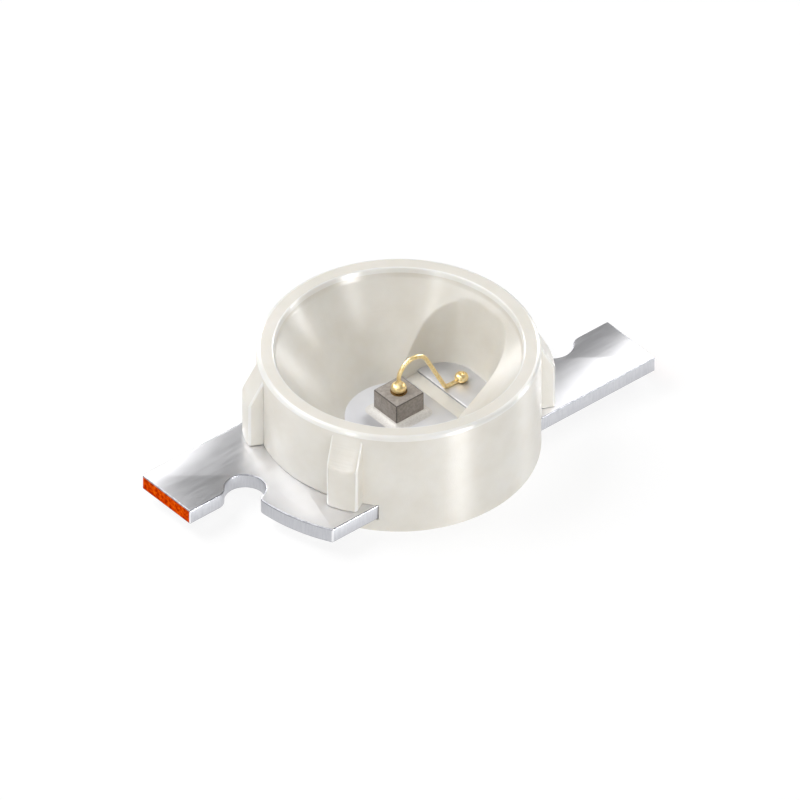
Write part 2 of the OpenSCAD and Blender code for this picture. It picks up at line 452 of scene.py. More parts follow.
def crossing(a: Vector, ra: float, b: Vector, rb: float, side: int) -> Vector:
    """Where two circles cross.

    Args:
        a: Middle of the first circle.
        ra: Its radius.
        b: Middle of the second circle.
        rb: Its radius.
        side: 1 or -1 for the crossing to the left or right of the way from a to b.

    Returns:
        The point.
    """
    gap = (b - a).length
    way = (b - a) / gap
    reach = (ra ** 2 - rb ** 2 + gap ** 2) / (2 * gap)
    return a + reach * way + side * math.sqrt(ra ** 2 - reach ** 2) * Vector((-way.y, way.x))


@cache
def node_box(node: str) -> tuple[Vector, Vector]:
    """Lowest and highest corner of a CAD node in millimetres."""
    low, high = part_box(node)
    return Vector(low) / MM, Vector(high) / MM


def mesh_object(name: str, mesh: bpy.types.Mesh) -> bpy.types.Object:
    """Link a new object that shows a mesh.

    Args:
        name: The object's name.
        mesh: The mesh.

    Returns:
        The object.
    """
    piece = bpy.data.objects.new(name, mesh)
    bpy.context.scene.collection.objects.link(piece)
    return piece


def mesh_from(name: str, verts: Iterable[Sequence[float]], edges: Sequence[Sequence[int]] = (),
              faces: Sequence[Sequence[int]] = ()) -> bpy.types.Mesh:
    """Make a mesh.

    Args:
        name: The mesh's name.
        verts: Its vertices.
        edges: Pairs of vertex numbers, for edges that no face has.
        faces: The vertex numbers round each face.

    Returns:
        The mesh.
    """
    mesh = bpy.data.meshes.new(name)
    mesh.from_pydata([tuple(v) for v in verts], edges, faces)
    return mesh


def prism(outline: Sequence[Vector], low: float, high: float) -> bmesh.types.BMesh:
    """Raise a plane outline to a closed form.

    Args:
        outline: The corners, going round once.
        low: Height of the underside.
        high: Height of the top.

    Returns:
        The form, with its faces turned outward.
    """
    form = bmesh.new()
    base = form.faces.new([form.verts.new((p.x, p.y, low)) for p in outline])
    grown = bmesh.ops.extrude_face_region(form, geom=[base])["geom"]
    raised = [part for part in grown if isinstance(part, bmesh.types.BMVert)]
    bmesh.ops.translate(form, vec=(0, 0, high - low), verts=raised)
    bmesh.ops.recalc_face_normals(form, faces=form.faces)
    return form


def round_edges(form: bmesh.types.BMesh, edges: Sequence[bmesh.types.BMEdge], width: float, segments: int,
                **more: Any) -> None:
    """Round edges of a form off, over a width and in so many segments."""
    bmesh.ops.bevel(form, geom=edges, offset=width, segments=segments, profile=0.5, affect="EDGES", **more)


def form_object(name: str, form: bmesh.types.BMesh) -> bpy.types.Object:
    """Turn a form into an object and free it.

    Args:
        name: Name of the object and its mesh.
        form: The form.

    Returns:
        The object.
    """
    mesh = bpy.data.meshes.new(name)
    form.to_mesh(mesh)
    form.free()
    return mesh_object(name, mesh)


def path_object(name: str, points: Sequence[Sequence[float]],
                **attributes: Sequence[float]) -> bpy.types.Object:
    """A line of vertices that a node tree reads.

    Args:
        name: The object's name.
        points: The vertices in their order.
        attributes: Named numbers, one for each vertex.

    Returns:
        The object.
    """
    mesh = mesh_from(name, points, [(i, i + 1) for i in range(len(points) - 1)])
    for key, values in attributes.items():
        mesh.attributes.new(key, "FLOAT", "POINT").data.foreach_set("value", values)
    return mesh_object(name, mesh)


def run_trees(name: str, steps: Sequence[tuple[bpy.types.NodeTree, dict[str, Any]]],
              helpers: Sequence[bpy.types.Object]) -> bpy.types.Object:
    """Run node trees one after the other and keep the result as a plain mesh.

    Args:
        name: Name of the piece.
        steps: Each tree with its inputs by name.
        helpers: Objects that only the trees read, which are removed afterwards.

    Returns:
        The piece, without modifiers.
    """
    piece = mesh_object(name, bpy.data.meshes.new(name))
    for tree, inputs in steps:
        modifier = piece.modifiers.new(tree.name, "NODES")
        modifier.node_group = tree
        sockets = {s.name: s.identifier for s in tree.interface.items_tree
                   if s.item_type == "SOCKET" and s.in_out == "INPUT"}
        for key, value in inputs.items():
            modifier[sockets[key]] = value
    graph = bpy.context.evaluated_depsgraph_get()
    mesh = bpy.data.meshes.new_from_object(piece.evaluated_get(graph), depsgraph=graph)
    piece.modifiers.clear()
    piece.data = mesh
    mesh.name = name
    for helper in helpers:
        bpy.data.objects.remove(helper)
    return piece


def shrink(piece: bpy.types.Object, sharp: float = 35) -> None:
    """Bring a finished mesh to the frame's metres and shade it smooth.

    Args:
        piece: The piece.
        sharp: Angle in degrees from which its edges stay sharp.
    """
    piece.data.transform(Matrix.Scale(MM, 4))
    piece.data.shade_smooth()
    piece.data.set_sharp_from_angle(angle=math.radians(sharp))


def settle(piece: bpy.types.Object, slot: Slot, *nodes: str) -> None:
    """Tie a finished piece to the frame and report it.

    Args:
        piece: The piece.
        slot: The record's slot that it takes its finish from.
        nodes: The CAD nodes that it stands for.
    """
    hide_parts(*nodes)
    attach(piece, "root")
    faces = sum(len(p.vertices) - 2 for p in piece.data.polygons)
    log.info("%s: %d triangles, finish %s", piece.name, faces, slot.value)


def new_tree(name: str, **inputs: str) -> tuple[bpy.types.NodeTree, dict[str, bpy.types.NodeSocket]]:
    """Start a Geometry Nodes tree.

    Args:
        name: The tree's name.
        inputs: Kind of each named input, such as Float.

    Returns:
        The tree, and its inputs by name.
    """
    tree = bpy.data.node_groups.new(name, "GeometryNodeTree")
    tree.interface.new_socket("Geometry", in_out="OUTPUT", socket_type="NodeSocketGeometry")
    for key, kind in {"Geometry": "Geometry", **inputs}.items():
        tree.interface.new_socket(key, in_out="INPUT", socket_type=f"NodeSocket{kind}")
    sources = add(tree, "NodeGroupInput").outputs
    return tree, {key: sources[key] for key in ("Geometry", *inputs)}


def end_tree(tree: bpy.types.NodeTree, geometry: Any, material: bpy.types.NodeSocket) -> None:
    """Realise a tree's geometry, give it its material and lead it out."""
    real = add(tree, "GeometryNodeRealizeInstances", geometry)
    add(tree, "NodeGroupOutput", add(tree, "GeometryNodeSetMaterial", real, named={"Material": material}))


def fold_tree() -> bpy.types.NodeTree:
    """Tree that folds a cylinder's grid onto a turned profile whose flagged rows open into the wire pocket.

    Returns:
        The tree.
    """
    tree, given = new_tree(
        "turned_with_pocket", Profile="Object", Columns="Int", Rows="Int", Reach="Float", Half_Width="Float",
        Corner="Float", Draft="Float", Floor="Float", Softness="Float", Material="Material")
    # Keeps a ray that runs along an axis from a division by nothing
    least = 0.001
    last = add(tree, "ShaderNodeMath", given["Rows"], 1.0, operation="SUBTRACT")
    # A cylinder of radius 1, whose columns give the direction of each ray from the axis
    grid = add(tree, "GeometryNodeMeshCylinder", given["Columns"], last, None, 1.0, 2.0, fill_type="NGON")
    profile = add(tree, "GeometryNodeObjectInfo", given["Profile"]).outputs["Geometry"]
    index = add(tree, "GeometryNodeInputIndex")
    ring = add(tree, "ShaderNodeMath", add(
        tree, "ShaderNodeMath", index, given["Columns"], operation="DIVIDE"), operation="FLOOR")
    row = add(tree, "ShaderNodeMath", last, ring, operation="SUBTRACT")
    spot = add(tree, "GeometryNodeInputPosition")
    point = add(tree, "ShaderNodeSeparateXYZ", add(
        tree, "GeometryNodeSampleIndex", profile, spot, row, data_type="FLOAT_VECTOR"))
    flag = add(tree, "GeometryNodeSampleIndex", profile, add(
        tree, "GeometryNodeInputNamedAttribute", "pocket", data_type="FLOAT"), row, data_type="FLOAT")
    ray = add(tree, "ShaderNodeSeparateXYZ", spot)
    known = {**given, "x": ray.outputs[0], "y": ray.outputs[1], "height": point.outputs[2]}
    # Each step's result, its operation, and the known values or numbers that it takes
    steps = (
        ("ahead", "MAXIMUM", "x", least),
        ("size_y", "ABSOLUTE", "y"),
        ("aside", "MAXIMUM", "size_y", least),
        ("above", "SUBTRACT", "height", "Floor"),
        ("rise", "MAXIMUM", "above", 0.0),
        ("flare", "MULTIPLY", "rise", "Draft"),
        # Distances along the ray to the side wall and to the far wall
        ("side", "ADD", "Half_Width", "flare"),
        ("to_side", "DIVIDE", "side", "aside"),
        ("far", "ADD", "Reach", "flare"),
        ("to_far", "DIVIDE", "far", "ahead"),
        # The distance to the round corner between them
        ("mid_x", "SUBTRACT", "Reach", "Corner"),
        ("mid_y", "SUBTRACT", "Half_Width", "Corner"),
        ("level_y", "MULTIPLY", "mid_y", "aside"),
        ("level", "MULTIPLY_ADD", "mid_x", "ahead", "level_y"),
        ("off_x", "MULTIPLY", "mid_x", "aside"),
        ("off_y", "MULTIPLY", "mid_y", "ahead"),
        ("off", "SUBTRACT", "off_x", "off_y"),
        ("off_squared", "MULTIPLY", "off", "off"),
        ("bend", "ADD", "Corner", "flare"),
        ("bend_squared", "MULTIPLY", "bend", "bend"),
        ("rest", "SUBTRACT", "bend_squared", "off_squared"),
        ("rest_up", "MAXIMUM", "rest", 0.0),
        ("root", "SQRT", "rest_up"),
        ("to_corner", "ADD", "level", "root"),
        # Which of the three the ray meets
        ("side_x", "MULTIPLY", "to_side", "ahead"),
        ("on_side", "LESS_THAN", "side_x", "mid_x"),
        ("far_y", "MULTIPLY", "to_far", "aside"),
        ("on_far", "LESS_THAN", "far_y", "mid_y"),
        ("in_front", "GREATER_THAN", "x", 0.0))
    for name, operation, *taken in steps:
        known[name] = add(
            tree, "ShaderNodeMath", *(known.get(value, value) for value in taken), operation=operation)
    beyond = add(
        tree, "GeometryNodeSwitch", known["on_far"], known["to_corner"], known["to_far"], input_type="FLOAT")
    reach = add(tree, "GeometryNodeSwitch", known["on_side"], beyond, known["to_side"], input_type="FLOAT")
    opened = add(tree, "ShaderNodeMath", point.outputs[0], add(
        tree, "ShaderNodeMath", reach, known["in_front"], operation="MULTIPLY"), given["Softness"],
        operation="SMOOTH_MAX")
    radius = add(tree, "GeometryNodeSwitch", flag, point.outputs[0], opened, input_type="FLOAT")
    place = add(
        tree, "ShaderNodeCombineXYZ",
        add(tree, "ShaderNodeMath", ray.outputs[0], radius, operation="MULTIPLY"),
        add(tree, "ShaderNodeMath", ray.outputs[1], radius, operation="MULTIPLY"),
        point.outputs[2])
    end_tree(tree, add(tree, "GeometryNodeSetPosition", grid, None, place), given["Material"])
    return tree


def rib_tree() -> bpy.types.NodeTree:
    """Tree that sets a rib round a body as often as asked, joins it to the wall and opens both seams.

    Returns:
        The tree.
    """
    tree, given = new_tree(
        "ribs_on_body", Rib="Object", Lean="Float", Count="Int", Seam="Object", Material="Material")
    rib = add(tree, "GeometryNodeObjectInfo", given["Rib"]).outputs["Geometry"]
    order = add(tree, "GeometryNodeInputIndex")
    side = add(tree, "ShaderNodeMath", add(
        tree, "ShaderNodeMath", order, 2.0, operation="DIVIDE"), operation="FLOOR")
    sign = add(tree, "ShaderNodeMath", add(
        tree, "ShaderNodeMath", order, 2.0, operation="MODULO"), 2.0, -1.0, operation="MULTIPLY_ADD")
    turn = add(tree, "ShaderNodeMath", side, math.pi, add(
        tree, "ShaderNodeMath", sign, given["Lean"], operation="MULTIPLY"), operation="MULTIPLY_ADD")
    spin = add(tree, "FunctionNodeEulerToRotation", add(tree, "ShaderNodeCombineXYZ", 0.0, 0.0, turn))
    places = add(tree, "GeometryNodeInstanceOnPoints", add(
        tree, "GeometryNodePoints", given["Count"]), None, rib, None, None, spin)
    grown = add(tree, "GeometryNodeMeshBoolean", None, [
        given["Geometry"], add(tree, "GeometryNodeRealizeInstances", places).outputs[0]],
        operation="UNION", solver="MANIFOLD")
    seam = add(tree, "GeometryNodeObjectInfo", given["Seam"]).outputs["Geometry"]
    half_turns = add(tree, "ShaderNodeMath", order, math.pi, operation="MULTIPLY")
    facing = add(tree, "FunctionNodeEulerToRotation", add(tree, "ShaderNodeCombineXYZ", 0.0, 0.0, half_turns))
    seams = add(tree, "GeometryNodeInstanceOnPoints", add(
        tree, "GeometryNodePoints", len(Pad)), None, seam, None, None, facing)
    opened = add(tree, "GeometryNodeMeshBoolean", grown.outputs[0], [
        add(tree, "GeometryNodeRealizeInstances", seams).outputs[0]],
        operation="DIFFERENCE", solver="MANIFOLD")
    end_tree(tree, opened, given["Material"])
    return tree


def sweep_tree() -> bpy.types.NodeTree:
    """Tree that sweeps a round section along a line, as thick at each point as the line's girth says.

    Returns:
        The tree.
    """
    tree, given = new_tree("swept_wire", Path="Object", Sides="Int", Material="Material")
    path = add(tree, "GeometryNodeObjectInfo", given["Path"]).outputs["Geometry"]
    curve = add(tree, "GeometryNodeMeshToCurve", path)
    section = add(tree, "GeometryNodeCurvePrimitiveCircle", given["Sides"], named={"Radius": 1.0})
    girth = add(tree, "GeometryNodeInputNamedAttribute", "girth", data_type="FLOAT")
    tube = add(tree, "GeometryNodeCurveToMesh", curve, section, girth, True)
    end_tree(tree, tube, given["Material"])
    return tree


@dataclass(frozen=True)
class Cup:
    """The reflector cup's own sizes, which the body and the resin in it share."""

    body_r: float = 1.0
    rim_w: float = 0.115
    lip_depth: float = 0.065
    lip_lean: float = 0.023
    floor_r: float = 0.38
    pocket_w: float = 0.62
    pocket_l: float = 0.287
    corner: float = 0.25
    draft: float = 12.0
    columns: int = 540

    @property
    def body_h(self) -> float:
        """Height of the body."""
        return node_box("housing")[1].z

    @property
    def floor(self) -> float:
        """Height of the pads' top face, where the cup ends."""
        return node_box("cathode_lead")[1].z

    @property
    def mouth(self) -> Vector:
        """Inner edge of the rim, as radius and height."""
        return Vector((self.body_r - self.rim_w, self.body_h))

    @property
    def lip(self) -> Vector:
        """Lower edge of the lip."""
        return self.mouth - Vector((self.lip_lean, self.lip_depth))

    def fold(self, name: str, profile: Sequence[Vector], flags: Sequence[float], inset: float,
             softness: float, material: bpy.types.Material,
             more: Sequence[tuple[bpy.types.NodeTree, dict[str, Any]]] = (),
             helpers: Sequence[bpy.types.Object] = ()) -> bpy.types.Object:
        """Turn a profile round the axis with the wire pocket let into its flagged rows.

        Args:
            name: Name of the piece.
            profile: Radius and height of each row, from the underside on.
            flags: 1 for each row that the pocket cuts, else 0.
            inset: Distance by which the pocket is drawn smaller.
            softness: Width over which the pocket's edge is rounded.
            material: The finish of the whole piece.
            more: Further trees with their inputs.
            helpers: Objects that those trees read.

        Returns:
            The piece, still in millimetres.
        """
        line = path_object(f"{name}_profile", [(p.x, 0, p.y) for p in profile], pocket=flags)
        inputs = {
            "Profile": line, "Columns": self.columns, "Rows": len(profile),
            "Reach": node_box("anode_lead")[0].x + self.pocket_l - inset,
            "Half_Width": self.pocket_w / 2 - inset, "Corner": self.corner - inset,
            "Draft": math.tan(math.radians(self.draft)), "Floor": self.floor,
            "Softness": softness, "Material": material}
        return run_trees(name, [(fold_tree(), inputs), *more], [line, *helpers])


@dataclass
class Housing:
    """The moulded body: wall, rim, cup with its pocket, and the four ribs that stand on the leads."""

    cup: Cup
    rim_round: float = 0.035
    foot_round: float = 0.02
    inner_round: float = 0.012
    edge_softness: float = 0.012
    gap_drop: float = 0.02
    cone_rows: int = 100
    rib_w: float = 0.235
    rib_out: float = 0.11
    rib_angle: float = 28.5
    rib_face_h: float = 0.335
    rib_rim_gap: float = 0.04
    rib_edge: float = 0.045
    rib_crown: float = 0.015
    rib_run_in: float = 0.015
    rib_count: int = 4
    seam: float = 0.006
    seam_depth: float = 0.04
    shoulder_w: float = 1.32
    # Angle from which a rib's edges are rounded, and how near its root and foot they stay sharp
    rib_sharp: float = 20.0
    rib_hidden: float = 0.01
    # Upward share of a face's normal from which it is rim or cup
    rim_tilt: float = 0.995
    cup_tilt: float = 0.45
    # Sideways shares of its normal between which it is a rib's rounded corner
    corner_tilt: tuple[float, float] = (0.3, 0.95)

    def profile(self) -> tuple[list[Vector], list[float]]:
        """Rows of the body from its underside over the rim to the cup's floor.

        Returns:
            The rows and their pocket flags.
        """
        r, h = self.cup.body_r, self.cup.body_h
        mouth, lip = self.cup.mouth, self.cup.lip
        lean = math.degrees(math.atan2(self.cup.lip_depth, self.cup.lip_lean))
        outside = [
            *arc((r - self.foot_round, self.foot_round), self.foot_round, -90, 0, step=15),
            *along((r, self.foot_round), (r, h - self.rim_round), 6),
            *arc((r - self.rim_round, h - self.rim_round), self.rim_round, 0, 90, step=9)]
        back = self.inner_round * math.tan(math.radians((180 - lean) / 4))
        inner = (mouth.x + back, h - self.inner_round)
        outside += arc(inner, self.inner_round, 90, 180 - (90 - lean), step=12)
        outside += along(outside[-1], lip, 3)
        foot = Vector((self.cup.floor_r, self.cup.floor))
        inside = [lip, *along(lip, foot, self.cone_rows), foot, foot - Vector((0, self.gap_drop))]
        return outside + inside, [0.0] * len(outside) + [1.0] * len(inside)

    def rib(self) -> bpy.types.Object:
        """One rib along +X: crowned upright face, rounded edges, and a slope that runs in to the wall.

        Returns:
            The rib as an object for the node tree.
        """
        half, face = self.rib_w / 2, self.cup.body_r + self.rib_out
        root = self.cup.body_r - self.cup.rim_w / 2
        crown_r = (half ** 2 + self.rib_crown ** 2) / (2 * self.rib_crown)
        spread = math.degrees(math.asin(half / crown_r))
        front = arc((face - crown_r, 0), crown_r, -spread, spread, step=spread / 6)
        outline = [Vector((root, -half)), *front, Vector((root, half))]
        low, top = self.cup.floor, self.cup.body_h - self.rib_rim_gap
        drop = top - low - self.rib_face_h
        form = prism(outline, low, top)
        slope = Vector((drop, 0, self.rib_out + self.rib_run_in))
        cut = bmesh.ops.bisect_plane(
            form, geom=form.verts[:] + form.edges[:] + form.faces[:], plane_no=slope.normalized(),
            plane_co=(self.cup.body_r - self.rib_run_in, 0, top), clear_outer=True)["geom_cut"]
        bmesh.ops.contextual_create(form, geom=[g for g in cut if isinstance(g, bmesh.types.BMEdge)])
        bmesh.ops.recalc_face_normals(form, faces=form.faces)
        inner, under = root + self.rib_hidden, low + self.rib_hidden
        sharp = [
            e for e in form.edges if e.calc_face_angle(0) > math.radians(self.rib_sharp)
            and max(v.co.x for v in e.verts) > inner and max(v.co.z for v in e.verts) > under]
        round_edges(form, sharp, self.rib_edge, segments=6, clamp_overlap=True)
        return form_object("rib", form)

    def seam_cutter(self) -> bpy.types.Object:
        """The hairline gap that shrinkage leaves round a lead where it enters the wall.

        Returns:
            The gap's room round the lead along -X, as an object for the node tree.
        """
        low, high = node_box("cathode_lead")
        half = self.shoulder_w / 2 + self.seam
        reach = self.cup.body_r - self.seam_depth
        turn = math.degrees(math.asin(half / reach))
        far = self.cup.body_r + 2 * self.rib_out
        outline = arc((0, 0), reach, 180 - turn, 180 + turn, step=3)
        outline += [Vector((-far, -half)), Vector((-far, half))]
        return form_object("seam", prism(outline, low.z - self.seam, high.z + self.seam))

    def zone(self, face: bpy.types.MeshPolygon) -> Zone:
        """Tell which finish a face of the body takes.

        Args:
            face: The face, in millimetres.

        Returns:
            Its zone.
        """
        low, high = node_box("cathode_lead")
        cup, z, r = self.cup, face.center.z, face.center.xy.length
        # The seam's own width and depth, each with a margin
        near, deep = 2 * self.seam, 1.5 * self.seam_depth
        # Faces in the seam take painted shade
        if cup.body_r - deep < r < cup.body_r - HAIR and low.z - near < z < high.z + near:
            return Zone.SEAM
        # A rib's underside just over the lead takes the same painted shade
        if r > cup.body_r and abs(z - cup.floor) < near and face.normal.z < -FACING:
            return Zone.SEAM
        # Round the rim, flat faces take the rim finish and the rounded edges the lighter edge finish, which
        # is painted highlight
        if cup.lip.x < r < cup.body_r and z > cup.body_h - self.rim_round:
            return Zone.RIM if face.normal.z > self.rim_tilt else Zone.EDGE
        # Across a rib, which stands at the same angle in each quarter
        lean, x, y = math.radians(self.rib_angle), face.normal.x, face.normal.y
        x, y = math.copysign(x, x * face.center.x), math.copysign(y, y * face.center.y)
        across = abs(y * math.cos(lean) - x * math.sin(lean))
        least, most = self.corner_tilt
        # A rib's rounded corners take the same painted highlight
        if r > cup.body_r + HAIR and z > cup.floor + near and least < across < most:
            return Zone.EDGE
        if r < cup.mouth.x and z > cup.floor - 2 * self.gap_drop and face.normal.z > self.cup_tilt:
            return Zone.CUP
        return Zone.WALL

    def build(self) -> None:
        """Make the body and tie it to the frame."""
        finishes = {
            Zone.WALL: WhiteMoulding(),
            Zone.RIM: WhiteMoulding(
                "lapped_nylon_rim", stops=((0.3, "E8E4DA"), (0.7, "EFEBE3")), gloss=(0.4, 0.5), sheen=0.4,
                drawn=0.5),
            # Lighter than the wall as painted highlight on the rounded edges; the smoother gloss is the
            # edges' own
            Zone.EDGE: WhiteMoulding(
                "burnished_nylon_edge", stops=((0.3, "F4F2EC"), (0.7, "FAF9F5")), gloss=(0.3, 0.34),
                strength=0.3),
            Zone.CUP: WhiteMoulding("polished_nylon_cup", strength=0.6, sheen=0.8, drawn=0.85),
            Zone.SEAM: PaintedSeamShade()}
        materials = [finishes[zone].build() for zone in Zone]
        rows, flags = self.profile()
        rib, seam = self.rib(), self.seam_cutter()
        more = [(rib_tree(), {
            "Rib": rib, "Lean": math.radians(self.rib_angle), "Count": self.rib_count, "Seam": seam,
            "Material": materials[0]})]
        piece = self.cup.fold(
            "moulded_housing", rows, flags, 0, self.edge_softness, materials[0], more, [rib, seam])
        for material in materials[1:]:
            piece.data.materials.append(material)
        for face in piece.data.polygons:
            face.material_index = self.zone(face).value
        shrink(piece)
        settle(piece, Slot.WHITE, "housing")


@dataclass
class Lead:
    """A stamped lead: pad inside the cup, round shoulder, notch and narrow strip with a cut end."""

    cup: Cup
    pad: Pad
    shoulder_out: float = 0.335
    strip_w: float = 0.52
    notch_r: float = 0.145
    notch_drop: float = 0.05
    strip_round: float = 0.1
    shoulder_round: float = 0.05
    # How far out from the axis the lead counts as pad
    pad_end: float = 0.75
    edge_roll: float = 0.009
    pad_roll: float = 0.005
    # Angle in degrees from which an edge is rolled over
    sharp: float = 50.0

    def outline(self, low: Vector, high: Vector) -> list[Vector]:
        """Plan of the lead, drawn as if it pointed along -X.

        Args:
            low: Lowest corner of the lead, so turned.
            high: Its highest corner.

        Returns:
            The corners of the outline, going round once.
        """
        reach = self.cup.body_r + self.shoulder_out
        edge = high.y - self.strip_w
        notch_y = edge - self.notch_drop
        notch = Vector((-math.sqrt(reach ** 2 - notch_y ** 2), notch_y))
        mid_y = edge + self.strip_round
        gap = self.notch_r + self.strip_round
        strip_mid = Vector((notch.x - math.sqrt(gap ** 2 - (mid_y - notch.y) ** 2), mid_y))
        end_r = self.shoulder_round
        end_mid = crossing(Vector((0, 0)), reach - end_r, notch, self.notch_r + end_r, 1)
        end_turn = angle_to(end_mid) % 360
        corner_turn = math.degrees(math.atan2(low.y, -math.sqrt(reach ** 2 - low.y ** 2))) % 360
        to_strip = angle_to(strip_mid - notch)
        return [
            Vector((high.x, low.y)),
            *arc((0, 0), reach, corner_turn, end_turn, step=2),
            *arc(end_mid, end_r, end_turn, angle_to(notch - end_mid), step=8)[1:],
            *arc(notch, self.notch_r, angle_to(end_mid - notch), to_strip, step=6)[1:],
            *arc(strip_mid, self.strip_round, to_strip - 180, -90, step=8)[1:],
            Vector((low.x, edge)),
            Vector((low.x, high.y)),
            Vector((high.x, high.y))]

    def rims(self, form: bmesh.types.BMesh) -> list[bmesh.types.BMEdge]:
        """The sharp edges of a form."""
        return [e for e in form.edges if e.calc_face_angle(0) > math.radians(self.sharp)]

    def part(self, face: bmesh.types.BMFace, tip: float) -> LeadFace:
        """Tell which finish a face takes, before the edges are rolled over.

        Args:
            face: The face of the lead along -X.
            tip: Where the lead ends.

        Returns:
            The part of the lead.
        """
        x = face.calc_center_median().x
        if x < tip + self.edge_roll:
            return LeadFace.CUT
        if abs(face.normal.z) < FACING:
            return LeadFace.SIDE
        return LeadFace.PAD if x > -self.pad_end else LeadFace.FACE

    def build(self, finishes: dict[LeadFace, bpy.types.Material]) -> None:
        """Make the lead and tie it to the frame.

        Args:
            finishes: The material of each of its parts.
        """
        node = "cathode_lead" if self.pad is Pad.DIE else "anode_lead"
        low, high = node_box(node)
        if self.pad is Pad.BOND:
            low, high = Vector((-high.x, -high.y, low.z)), Vector((-low.x, -low.y, high.z))
        form = prism(self.outline(low, high), low.z, high.z)
        everything = form.verts[:] + form.edges[:] + form.faces[:]
        bmesh.ops.bisect_plane(form, geom=everything, plane_co=(-self.pad_end, 0, 0), plane_no=(1, 0, 0))
        for face in form.faces:
            face.material_index = self.part(face, low.x).value
        upright = [e for e in self.rims(form) if abs(e.verts[0].co.z - e.verts[1].co.z) > HAIR]
        round_edges(form, upright, self.edge_roll, segments=3)
        inner = [e for e in self.rims(form) if all(v.co.x > -self.pad_end for v in e.verts)]
        round_edges(form, inner, self.pad_roll, segments=2)
        outer = [e for e in self.rims(form) if all(v.co.x < -self.pad_end + HAIR for v in e.verts)]
        # The outer edges take the darker edge finish, which is painted shade
        round_edges(form, outer, self.edge_roll, segments=3, material=LeadFace.EDGE.value)
        piece = form_object(f"plated_{node}", form)
        mesh = piece.data
        if self.pad is Pad.BOND:
            mesh.transform(HALF_TURN)
        for part in LeadFace:
            mesh.materials.append(finishes[part])
        shrink(piece)
        settle(piece, Slot.LEAD, node)


def lathe(name: str, section: Sequence[Sequence[float]], middle: Sequence[float],
          sides: int) -> bpy.types.Mesh:
    """Turn a section round an upright axis.

    Args:
        name: Name of the mesh.
        section: Radius and height of each ring, from the lower end to the upper one, both on the axis.
        middle: The axis's place, with the height that the section starts from.
        sides: Number of sides.

    Returns:
        A closed mesh.
    """
    x, y, z = middle
    verts = [(x, y, z + section[0][1]), (x, y, z + section[-1][1])]
    rings = []
    for radius, height in section[1:-1]:
        rings.append(range(len(verts), len(verts) + sides))
        turns = [2 * math.pi * i / sides for i in range(sides)]
        verts += [(x + radius * math.cos(t), y + radius * math.sin(t), z + height) for t in turns]
    pairs = [(i, (i + 1) % sides) for i in range(sides)]
    faces = [(0, rings[0][j], rings[0][i]) for i, j in pairs]
    faces += [(1, rings[-1][i], rings[-1][j]) for i, j in pairs]
    for lower, upper in zip(rings, rings[1:]):
        faces += [(lower[i], lower[j], upper[j], upper[i]) for i, j in pairs]
    return mesh_from(name, verts, faces=faces)


def join_into(form: bmesh.types.BMesh, mesh: bpy.types.Mesh, index: int) -> None:
    """Add a mesh's faces to a form and drop the mesh.

    Args:
        form: The form that takes the faces.
        mesh: The mesh.
        index: Material slot of all its faces.
    """
    for face in mesh.polygons:
        face.material_index = index
    form.from_mesh(mesh)
    bpy.data.meshes.remove(mesh)


@dataclass
class Chip:
    """The sawn chip on its die pad, with its round contact and the glue that holds it."""

    contact_d: float = 0.12
    contact_t: float = 0.004
    edge: float = 0.006
    glue_t: float = 0.012
    glue_margin: float = 0.06
    glue_climb: float = 0.02
    glue_rings: int = 14
    glue_corner: float = 0.002
    contact_sides: int = 48

    def build(self) -> None:
        """Make the chip and tie it to the frame."""
        low, high = node_box("led_chip")
        top = high.z - self.contact_t
        middle = (low + high) / 2
        corners = [Vector((x, y)) for x, y in (
            (low.x, low.y), (high.x, low.y), (high.x, high.y), (low.x, high.y))]
        form = prism(corners, low.z, top)
        for face in form.faces:
            face.material_index = (ChipFace.TOP if face.normal.z > FACING else ChipFace.SIDE).value
        round_edges(form, form.edges[:], self.edge, segments=2, material=ChipFace.EDGE.value)
        r, t = self.contact_d / 2, self.contact_t
        section = [(0, -t), (r, -t), (r, t / 2), (r - t / 2, t), (0, t)]
        contact = lathe("contact", section, (middle.x, middle.y, top), self.contact_sides)
        join_into(form, contact, ChipFace.CONTACT.value)
        piece = form_object("sawn_chip", form)
        finishes = {
            ChipFace.SIDE: SawnChip(),
            ChipFace.CONTACT: ContactPaintedShadow(),
            ChipFace.EDGE: ChippedEdge(),
            # The top takes lighter colours than the sides, as painted light
            ChipFace.TOP: SawnChip("polished_semiconductor", stops=((0.35, "8E867F"), (0.65, "ACA49C")))}
        for part in ChipFace:
            piece.data.materials.append(finishes[part].build())
        shrink(piece)
        settle(piece, Slot.CHIP, "led_chip")

    def build_glue(self, finish: SilverGlue) -> None:
        """Make the glue's concave fillet round the chip's foot and tie it to the frame.

        Args:
            finish: Finish of the glue.
        """
        low, high = node_box("led_chip")
        middle = (low + high) / 2
        half = (high.x - low.x) / 2
        floor = node_box("cathode_lead")[1].z
        rise = self.glue_t + self.glue_climb
        form = bmesh.new()
        rings = []
        for k in range(self.glue_rings + 1):
            share = k / self.glue_rings
            out = self.glue_margin * (1 - math.sin(share * math.pi / 2))
            height = floor + rise * (1 - math.cos(share * math.pi / 2))
            corner = max(out, self.glue_corner)
            ring = []
            for turn, (sx, sy) in enumerate([(1, 1), (-1, 1), (-1, -1), (1, -1)]):
                for p in arc((sx * half, sy * half), corner, turn * 90, turn * 90 + 90, step=15):
                    ring.append(form.verts.new((middle.x + p.x, middle.y + p.y, height)))
            rings.append(ring)
        count = len(rings[0])
        for lower, upper in zip(rings, rings[1:]):
            for i in range(count):
                j = (i + 1) % count
                form.faces.new((lower[i], lower[j], upper[j], upper[i]))
        form.faces.new(rings[-1])
        form.faces.new(list(reversed(rings[0])))
        piece = form_object("silver_glue_fillet", form)
        piece.data.materials.append(finish.build())
        shrink(piece, sharp=50)
        settle(piece, Slot.GLUE, "die_attach")


